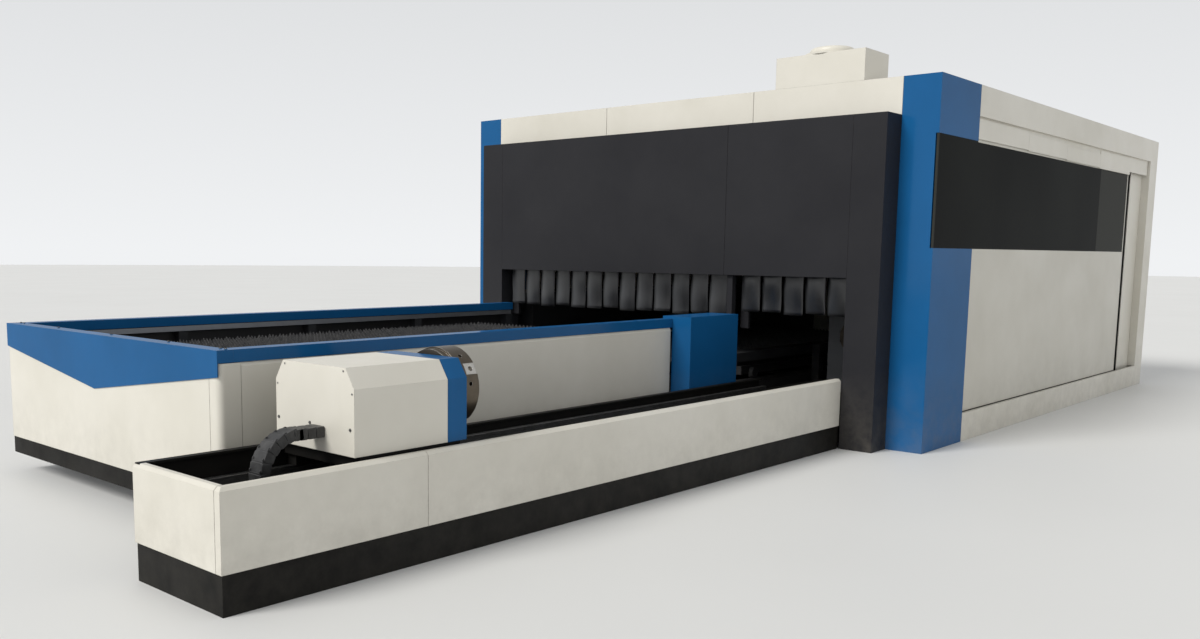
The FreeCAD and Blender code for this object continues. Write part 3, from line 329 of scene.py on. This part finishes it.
CASTING = powder_coat("grey_casting_paint", (0.2, 0.21, 0.22, 1.0), (0.16, 0.165, 0.175, 1.0),
                      (0.3, 0.3, 0.3, 1.0), 0.5, peel=0.6)
STEEL = bare_steel("machined_steel", (0.13, 0.108, 0.082, 1.0), (0.06, 0.05, 0.038, 1.0))
JAW_STEEL = bare_steel("ground_jaw_steel", (0.62, 0.6, 0.56, 1.0), (0.4, 0.37, 0.33, 1.0), 0.3,
                       oil=0.25)
RAIL_STEEL = bare_steel("ground_rail_steel", (0.2, 0.2, 0.2, 1.0), (0.08, 0.075, 0.07, 1.0), 0.3,
                        (0.05, 4.0, 4.0), 0.45)
STRIP_METAL = bare_steel("rolled_aluminium", (0.33, 0.345, 0.37, 1.0), (0.2, 0.2, 0.21, 1.0),
                         0.42, (0.02, 6.0, 6.0), 0.3)
SCREW_STEEL = bare_steel("blackened_screw_steel", (0.035, 0.035, 0.037, 1.0),
                         (0.015, 0.015, 0.015, 1.0), 0.42)
BLADES = scorched_blades("scorched_slat_steel")
CORNER_PANE = smoked_pane("smoked_corner_pane", -BEYOND, CORNER_PANE_REFLECTION_END)
DOOR_PANE = smoked_pane("smoked_door_pane", DOOR_PANE_REFLECTION_FROM, BEYOND)
NARROW_START = low("curtain_strips")[1]
WIDE_START = NARROW_START + NARROW_TO_WIDE
NARROW_VINYL = curtain_vinyl("narrow_curtain_vinyl", NARROW_START, high("curtain_strips")[2],
                             0.5)
WIDE_VINYL = curtain_vinyl("wide_curtain_vinyl", WIDE_START, high("curtain_strips")[2], 1.0)
NYLON = moulded_nylon("drag_chain_nylon")
BRASS = turned_brass("nozzle_brass")

BY_SLOT = {"cream_paint": CREAM, "blue_paint": BLUE, "charcoal_paint": CHARCOAL,
           "frame_paint": FRAME_GREY, "black_paint": BLACK, "smoked_glass": CORNER_PANE,
           "curtain_pvc": WIDE_VINYL, "slat_steel": BLADES, "machined_steel": STEEL,
           "cast_housing": CASTING, "chain_plastic": NYLON, "nozzle_brass": BRASS}


def dress_frame():
    """Give every node of the frame the finish of its material slot."""
    special = {"door_window": DOOR_PANE, "guide_rails": RAIL_STEEL, "service_door": SHADED_DOOR_CREAM}
    special.update({f"rear_chuck_jaw_{k}": JAW_STEEL for k in range(1, 5)})
    for part in frame["record"]["subparts"]:
        node = frame["nodes"][part["node"]]
        node.data.materials.clear()
        node.data.materials.append(special.get(part["node"], BY_SLOT[part["material_slot"]]))


# ---------------------------------------------------------------- surfaces worked out as arrays

def grid_faces(rows, columns, wrap=False):
    """Quads between neighbouring points of a rows by columns grid; wrap joins the last column."""
    across = columns if wrap else columns - 1
    i, j = np.meshgrid(np.arange(rows - 1), np.arange(across), indexing="ij")
    after = (j + 1) % columns
    quads = np.stack([i * columns + j, i * columns + after,
                      (i + 1) * columns + after, (i + 1) * columns + j], axis=-1)
    return quads.reshape(-1, 4).tolist()


def turned_shape(profile, sides=16):
    """A profile of (radius, height) pairs swept round the Z axis; the ends close on the axis."""
    profile = np.asarray(profile, float)
    angle = np.linspace(0, 2 * pi, sides, endpoint=False)
    ring = np.stack([np.cos(angle), np.sin(angle), np.zeros(sides)], axis=-1)
    points = profile[:, None, :1] * ring[None] + profile[:, None, 1:] * np.array([0, 0, 1.0])
    points = points.reshape(-1, 3)
    faces = grid_faces(len(profile), sides, wrap=True)
    last = (len(profile) - 1) * sides
    faces.append(list(range(sides))[::-1])
    faces.append([last + k for k in range(sides)])
    return points, faces


def prism(outline, depth):
    """A closed outline in XY, counter-clockwise, carried up Z by its depth and capped."""
    outline = np.asarray(outline, float)
    count = len(outline)
    floor = np.column_stack([outline, np.zeros(count)])
    points = np.vstack([floor, floor + [0, 0, depth]])
    faces = [[k, (k + 1) % count, count + (k + 1) % count, count + k] for k in range(count)]
    return points, faces + [list(range(count))[::-1], [count + k for k in range(count)]]


def block(x0, x1, y0, y1, z0, z1):
    """A plain six-sided bar between two corners, for joining into a larger piece."""
    points, faces = prism([(x0, y0), (x1, y0), (x1, y1), (x0, y1)], z1 - z0)
    return points + [0, 0, z0], faces


def rounded_outline(width, height, radius, steps=4):
    """A rectangle about the origin whose four corners are quarter circles."""
    corners = []
    for index, (sx, sy) in enumerate(((1, 1), (-1, 1), (-1, -1), (1, -1))):
        angle = np.linspace(0, pi / 2, steps + 1) + index * pi / 2
        centre = np.array([sx * (width / 2 - radius), sy * (height / 2 - radius)])
        corners.append(centre + radius * np.column_stack([np.cos(angle), np.sin(angle)]))
    return np.vstack(corners)


def moved(shape, turn, offset):
    """A shape turned by a 3 by 3 matrix and carried to a place."""
    points, faces = shape
    return points @ np.asarray(turn, float).T + offset, faces


def copies(shape, turn, places):
    """The same shape at many places, point = turn . shape point + place, with one turn or many."""
    points, faces = shape
    places = np.asarray(places, float)
    turns = np.broadcast_to(np.asarray(turn, float), (len(places), 3, 3))
    spread = np.einsum("kij,nj->kni", turns, points) + places[:, None]
    count = len(points)
    return (spread.reshape(-1, 3),
            [[v + k * count for v in face] for k in range(len(places)) for face in faces])


def joined(shapes):
    """Several shapes as one."""
    points, faces, first = [], [], 0
    for shape_points, shape_faces in shapes:
        points.append(shape_points)
        faces += [[v + first for v in face] for face in shape_faces]
        first += len(shape_points)
    return np.vstack(points), faces


def piece(name, shapes, material, body, smooth=False, replaces=()):
    """Join shapes into one mesh object that rides on a body with a finish of its own."""
    points, faces = joined(shapes)
    mesh = bpy.data.meshes.new(name)
    mesh.from_pydata(points.tolist(), [], faces)
    mesh.polygons.foreach_set("use_smooth", [smooth] * len(mesh.polygons))
    mesh.materials.append(material)
    mesh.update()
    made = bpy.data.objects.new(name, mesh)
    bpy.context.scene.collection.objects.link(made)
    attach(made, body)
    if replaces:
        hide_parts(*replaces)
    return made


UP = np.eye(3)
TO_MINUS_X = np.array([[0, 0, -1], [0, 1, 0], [1, 0, 0]])      # a shape's +Z becomes -X
TO_PLUS_X = np.array([[0, 0, 1], [0, 1, 0], [-1, 0, 0]])       # a shape's +Z becomes +X
TO_PLUS_Y = np.array([[1, 0, 0], [0, 0, 1], [0, -1, 0]])       # a shape's +Z becomes +Y

SMALL_SCREW = turned_shape([(0.0042, 0), (0.0042, 0.0008), (0.003, 0.0022), (0.0014, 0.0022),
                            (0.0012, 0.0012), (0.0001, 0.0012)], 8)
BUTTON_HEAD = turned_shape([(0.0068, 0), (0.0068, 0.0012), (0.0055, 0.0032), (0.0032, 0.0042),
                            (0.0028, 0.0022), (0.0001, 0.0022)], 10)


# ---------------------------------------------------------------- drag chain of the headstock

LINK_PITCH = 0.038


def chain_link(width, tall):
    """One closed link along +X from the origin: two side plates, and lids in two layers.

    The outer lids leave a fine gap to the next link, and the longer inner lids lie behind it.
    The side plates step in by their own thickness on the leading end, as each next link's
    plates close over them.
    """
    plate, lid = 0.005, 0.003
    half, reach = width / 2, tall / 2
    wide = rounded_outline(LINK_PITCH * 0.93, tall, 0.006) + [LINK_PITCH * 0.48, 0]
    waist = rounded_outline(LINK_PITCH * 0.9, tall * 0.9, 0.006) + [LINK_PITCH, 0]
    parts = []
    for side in (-1, 1):
        near = side * half - (plate if side > 0 else 0)
        parts.append(moved(prism(wide, plate), TO_PLUS_Y, [0, near, 0]))
        parts.append(moved(prism(waist, plate), TO_PLUS_Y, [0, near - side * 0.0035, 0]))
    inner = half - plate
    for sign, cover in ((1, 0.95), (-1, 0.8)):
        outer = sorted((sign * reach, sign * (reach - lid)))
        under = sorted((sign * (reach - 0.8 * lid), sign * (reach - 1.8 * lid)))
        parts.append(block(0.02 * LINK_PITCH, cover * LINK_PITCH, -inner, inner, *outer))
        parts.append(block(-0.15 * LINK_PITCH, 1.15 * LINK_PITCH, -inner, inner, *under))
    return joined(parts)


def chain_along(centres, angles, width, tall):
    """Links placed at centres in the plane of X and Z, each turned about Y by its own angle."""
    turns = np.zeros((len(angles), 3, 3))
    turns[:, 0, 0] = turns[:, 2, 2] = np.cos(angles)
    turns[:, 0, 2] = -np.sin(angles)
    turns[:, 2, 0] = np.sin(angles)
    turns[:, 1, 1] = 1
    return copies(chain_link(width, tall), turns, centres)


def drag_chain():
    """The bend with its upper run on the headstock, and the run lying in the trough.

    The bend is a half circle of mid radius r about (xc, zc): (xc - r sin a, zc + r cos a) with
    a from 0 at the top to pi at the bottom, and each link is turned along the tangent.
    """
    lowest, highest = low("drag_chain_loop"), high("drag_chain_loop")
    floor_low, floor_high = low("drag_chain_run"), high("drag_chain_run")
    tall = floor_high[2] - floor_low[2]
    width = highest[1] - lowest[1]
    middle = (highest[1] + lowest[1]) / 2
    outer = (highest[2] - lowest[2]) / 2
    radius = outer - tall / 2
    centre_z = lowest[2] + outer
    centre_x = lowest[0] + outer
    upper = np.arange(highest[0] - LINK_PITCH, centre_x, -LINK_PITCH)
    turn = np.arange(0.4 * LINK_PITCH, pi * radius, LINK_PITCH) / radius
    places = [(x, middle, centre_z + radius) for x in upper]
    angles = [0.0] * len(upper)
    for a in turn:
        places.append((centre_x - radius * sin(a), middle, centre_z + radius * cos(a)))
        angles.append(a)
    bend = chain_along(np.array(places), np.array(angles), width, tall * 0.98)
    piece("drag_chain_bend", [bend], NYLON, "headstock",
          replaces=("drag_chain_loop",))
    count = int((floor_high[0] - floor_low[0]) / LINK_PITCH) - 1
    lying = [(floor_low[0] + 0.02 + k * LINK_PITCH, middle, floor_low[2] + tall / 2)
             for k in range(count)]
    run = chain_along(np.array(lying), np.zeros(count), width, tall * 0.98)
    piece("drag_chain_floor_run", [run], NYLON, "machine",
          replaces=("drag_chain_run",))


# ---------------------------------------------------------------- strip curtains

def strip_surface(left, right, top, bottom, x, tilt, bow, swell, phase):
    """One hanging flap as a grid of 13 by 15 points, with u across it and v down it, both 0..1.

    x(u, v) = x - tilt (u - 1/2) - s(v) bow 4 u (1 - u) + 0.004 v sin(2 pi v + phase)
    s(v) = (1 - swell) + swell sin(pi v^0.6), so a swelling flap bellies out below its hem
    y(u, v) = left + u (right - left) (1 - 0.06 swell v), z(u, v) = top + v (bottom - top)
    """
    v, u = np.meshgrid(np.linspace(0, 1, 15), np.linspace(0, 1, 13), indexing="ij")
    belly = (1 - swell) + swell * np.sin(pi * v ** 0.6)
    depth = x - tilt * (u - 0.5) - belly * bow * 4 * u * (1 - u)
    depth = depth + 0.004 * v * np.sin(2 * pi * v + phase)
    across = left + u * (right - left) * (1 - 0.06 * swell * v)
    points = np.stack([depth, across, top + v * (bottom - top)], axis=-1)
    return points.reshape(-1, 3), grid_faces(15, 13)


def strip_curtain(name, material, start, count, width, top, bottom, bow, swell):
    """A row of flaps that overlap like scales, joined as one piece and given a thickness."""
    x = (low("curtain_strips")[0] + high("curtain_strips")[0]) / 2
    flaps = []
    for k in range(count):
        left = start + k * FLAP_PITCH
        lean = 0.012 * cos(1.7 * k + 0.4)
        flaps.append(strip_surface(left, left + width, top, bottom + 0.008 * sin(2.3 * k), x,
                                   -0.016 + 0.3 * lean, bow * (1 + 0.35 * sin(1.9 * k + 0.5)),
                                   swell, 1.3 * k))
    made = piece(name, flaps, material, "machine", smooth=True)
    skin = made.modifiers.new("thickness", "SOLIDIFY")
    skin.thickness = 0.003
    skin.offset = 0.0
    return made


def curtains():
    """The wide curtain over the pallet opening and the narrow one over the tube bed's."""
    bottom, top = low("curtain_strips")[2], high("curtain_strips")[2]
    wide = strip_curtain("curtain_wide", WIDE_VINYL, WIDE_START, 13, 0.152, top, bottom,
                         0.014, 0.25)
    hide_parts("curtain_strips")
    strip_curtain("curtain_narrow", NARROW_VINYL, NARROW_START, 5, 0.15, top, bottom + 0.03,
                  0.02, 0.9)


# ---------------------------------------------------------------- fasteners and trim

def headstock_trim():
    """Screws of the headstock cover's rear face."""
    cover_low, cover_high = low("headstock_cover"), high("headstock_cover")
    middle = (cover_low[1] + cover_high[1]) / 2
    small, large = [], []
    for side in (-1, 1):
        small.append((cover_low[0], middle + side * 0.184, cover_high[2] - 0.013))
        small.append((cover_low[0], middle + side * 0.234, cover_high[2] - 0.094))
    for across in (0.230, 0.026, -0.222):
        large.append((cover_low[0], middle + across, cover_low[2] + 0.100))
    heads = [copies(SMALL_SCREW, TO_MINUS_X, small), copies(BUTTON_HEAD, TO_MINUS_X, large)]
    piece("headstock_screws", heads, SCREW_STEEL, "headstock")


def chuck_trim(name, body, middle, face, turned, radius, count, first):
    """Socket bolts on a chuck's face, on a circle about the turning axis, from a first angle."""
    angle = np.arange(count) * 2 * pi / count + first
    places = np.column_stack([np.full(count, face), middle[0] + radius * np.sin(angle),
                              middle[1] + radius * np.cos(angle)])
    piece(name, [copies(BUTTON_HEAD, turned, places)], SCREW_STEEL, body)


def flange_screws():
    """Screws along the top of the table's end flange, in pairs at its corners."""
    cap_low, cap_high = low("table_end_cap"), high("table_end_cap")
    flange = cap_low[0] + 0.062
    along = [cap_low[1] + 0.035, cap_low[1] + 0.075, -0.18, 0.35, 0.92,
             cap_high[1] - 0.075, cap_high[1] - 0.035]
    places = [(flange, y, cap_high[2]) for y in along]
    piece("flange_screws", [copies(BUTTON_HEAD, UP, places)], SCREW_STEEL, "machine")


def table_strips():
    """Rolled strips along the inner faces of the table's two ladders, under the rims."""
    rim_low, rim_high = low("table_rims"), high("table_rims")
    frame_low, frame_high = low("table_frame"), high("table_frame")
    near, far = frame_low[1] + 0.060, frame_high[1] - 0.060
    z = (rim_low[2] - 0.034, rim_low[2] - 0.004)
    run = (rim_low[0] + 0.02, rim_high[0] - 0.02)
    piece("table_inner_strips",
          [block(*run, near, near + 0.003, *z), block(*run, far - 0.003, far, *z)],
          STRIP_METAL, "machine")


TUBE_RAILS = (-1.398, -0.932)        # Y of the headstock's two rails
TUBE_RAIL_TOP = 0.346
TUBE_RAIL_STOP = -0.52
GANTRY_RAILS = (-1.65, 1.5)          # Y of the gantry's two rails
GANTRY_RAIL_START = -0.1
CAP_PITCH = 0.12


def rail_caps():
    """Bolt caps let into the tops of the guide rails, every 120 mm."""
    rail_low, rail_high = low("guide_rails"), high("guide_rails")
    cap = turned_shape([(0.006, 0), (0.006, 0.0006), (0.0001, 0.0006)], 12)
    rails = [(y, TUBE_RAIL_TOP, np.arange(rail_low[0] + 0.06, TUBE_RAIL_STOP, CAP_PITCH))
             for y in TUBE_RAILS]
    rails += [(y, rail_high[2], np.arange(GANTRY_RAIL_START, rail_high[0] - 0.03, CAP_PITCH))
              for y in GANTRY_RAILS]
    places = [(x, y, z) for y, z, run in rails for x in run]
    piece("rail_bolt_caps", [copies(cap, UP, places)], SCREW_STEEL, "machine")


def head_details():
    """Collimator rings on the cutting head."""
    head_low, head_high = low("cutting_head"), high("cutting_head")
    middle = (head_low + head_high) / 2
    radius = (head_high[0] - head_low[0]) / 2
    ring = turned_shape([(radius - 0.004, 0), (radius + 0.0015, 0.0015), (radius + 0.0015, 0.0065),
                         (radius - 0.004, 0.008)], 40)
    places = [(middle[0], middle[1], head_high[2] - drop) for drop in (0.05, 0.09, 0.20)]
    piece("cutting_head_rings", [copies(ring, UP, places)], SCREW_STEEL, "head")


# ---------------------------------------------------------------- studio, light and camera

FLOOR_RADIUS = 70.0


def studio():
    """A round pale floor that carries on to the horizon, and soft light from the free end."""
    angle = np.linspace(0.0, 2.0 * pi, 96, endpoint=False)
    rim = FLOOR_RADIUS * np.stack([np.cos(angle), np.sin(angle), 0.0 * angle], axis=-1)
    mesh = bpy.data.meshes.new("studio_floor")
    mesh.from_pydata(rim.tolist(), [], [list(range(len(angle)))])
    mesh.materials.append(studio_floor("pale_floor"))
    floor = bpy.data.objects.new("studio_floor", mesh)
    bpy.context.scene.collection.objects.link(floor)
    world = bpy.data.worlds.new("studio")
    world.use_nodes = True
    nodes, links = world.node_tree.nodes, world.node_tree.links
    direction = nodes.new("ShaderNodeTexCoord")
    split = nodes.new("ShaderNodeSeparateXYZ")
    fade = nodes.new("ShaderNodeMapRange")
    for socket, number in (("From Min", 0.0), ("From Max", 0.7), ("To Min", 0.9), ("To Max", 0.48)):
        fade.inputs[socket].default_value = number
    links.new(direction.outputs["Generated"], split.inputs["Vector"])
    links.new(split.outputs["Z"], fade.inputs["Value"])
    background = nodes["Background"]
    background.inputs["Color"].default_value = (0.97, 0.985, 1.0, 1.0)
    links.new(fade.outputs["Result"], background.inputs["Strength"])
    bpy.context.scene.world = world
    sun("key", 2.6, 24, Vector((0.73, -0.16, -0.66)))
    sun("fill", 0.22, 70, Vector((0.35, 0.85, -0.35)))
    bpy.context.scene.view_settings.view_transform = "Standard"


def sun(name, energy, spread, direction):
    """One soft sun shining along a direction, its disc so many degrees wide."""
    data = bpy.data.lights.new(name, "SUN")
    data.energy = energy
    data.angle = radians(spread)
    data.color = (1.0, 0.985, 0.95)
    lamp = bpy.data.objects.new(name, data)
    lamp.rotation_euler = direction.to_track_quat("-Z", "Y").to_euler()
    bpy.context.scene.collection.objects.link(lamp)


CAMERA_PLACE = (-6.576, -4.432, 1.202)
CAMERA_TURN = (43.04, -7.0, 0.532)       # degrees of yaw, pitch and roll
CAMERA_LENS = 31.76                      # mm
CAMERA_SHIFT = (0.0663, 0.0510)


def camera():
    """The camera stands near the free end of the tube bed, and looks along to the cabin."""
    yaw, pitch, roll = (radians(angle) for angle in CAMERA_TURN)
    forward = Vector((cos(yaw) * cos(pitch), sin(yaw) * cos(pitch), sin(pitch)))
    right = Vector((sin(yaw), -cos(yaw), 0.0))
    up = right.cross(forward)
    across = right * cos(roll) + up * sin(roll)
    above = up * cos(roll) - right * sin(roll)
    data = bpy.data.cameras.new("camera")
    data.sensor_fit = "HORIZONTAL"
    data.sensor_width = 36.0
    data.lens = CAMERA_LENS
    data.shift_x, data.shift_y = CAMERA_SHIFT
    data.clip_end = 200.0
    made = bpy.data.objects.new("camera", data)
    turn = Matrix((across, above, -forward)).transposed().to_4x4()
    made.matrix_world = Matrix.Translation(CAMERA_PLACE) @ turn
    bpy.context.scene.collection.objects.link(made)
    bpy.context.scene.camera = made


dress_frame()
drag_chain()
curtains()
headstock_trim()
AXIS = ((low("rear_chuck_body")[1] + high("rear_chuck_body")[1]) / 2,
        (low("rear_chuck_body")[2] + high("rear_chuck_body")[2]) / 2)
chuck_trim("rear_chuck_bolts", "rear_chuck", AXIS, high("rear_chuck_body")[0], TO_PLUS_X,
           0.09, 4, 0.0)
chuck_trim("front_chuck_bolts", "front_chuck", AXIS, low("front_chuck_ring")[0], TO_MINUS_X,
           0.13, 12, pi / 12)
flange_screws()
rail_caps()
table_strips()
head_details()
studio()
camera()
